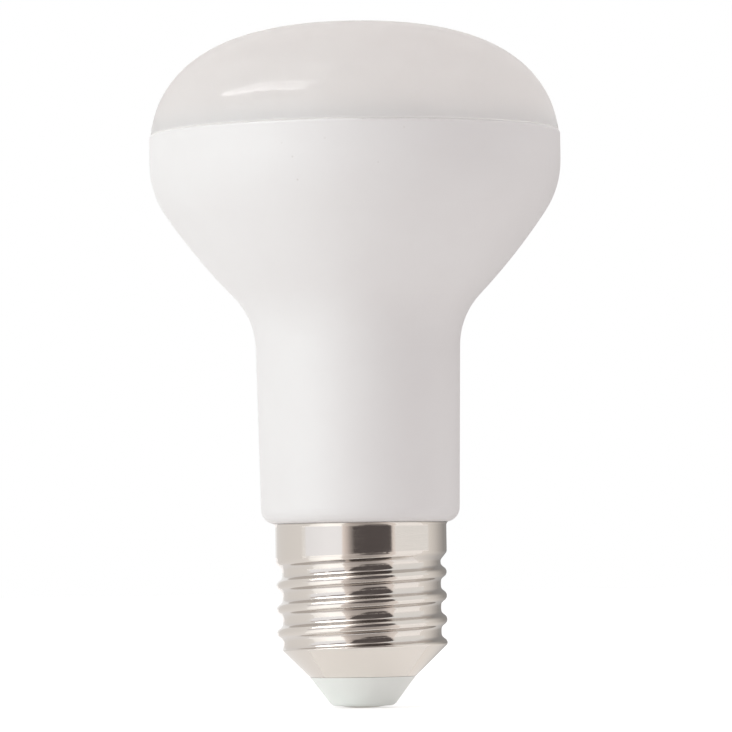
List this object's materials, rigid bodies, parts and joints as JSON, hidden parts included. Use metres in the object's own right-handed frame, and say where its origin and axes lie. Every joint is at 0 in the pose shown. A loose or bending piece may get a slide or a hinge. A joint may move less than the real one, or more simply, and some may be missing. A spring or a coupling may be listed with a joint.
{
  "type": "reflector bulb",
  "caption": "Reflector lamp with a low opal diffuser, a white flared housing with a slim neck, and a nickel-plated screw cap with an insulated centre contact.",
  "frame": {"origin": "tip of the centre contact, on the lamp's axis", "axes": "+Z along the lamp's axis, from the contact up to the crown of the diffuser; -Y is the side seen in the picture"},
  "size_m": [0.063, 0.063, 0.1047],
  "materials": {
    "opal_plastic": "semi-gloss opal",
    "white_plastic": "matt white",
    "nickel_plate": "bright nickel plate",
    "insulator_plastic": "matt, cool white",
    "contact_metal": "plain metal"
  },
  "bodies": {
    "root": {"diffuser": "opal_plastic", "housing": "white_plastic", "screw_shell": "nickel_plate", "insulator": "insulator_plastic", "centre_contact": "contact_metal"}
  },
  "joints": []
}
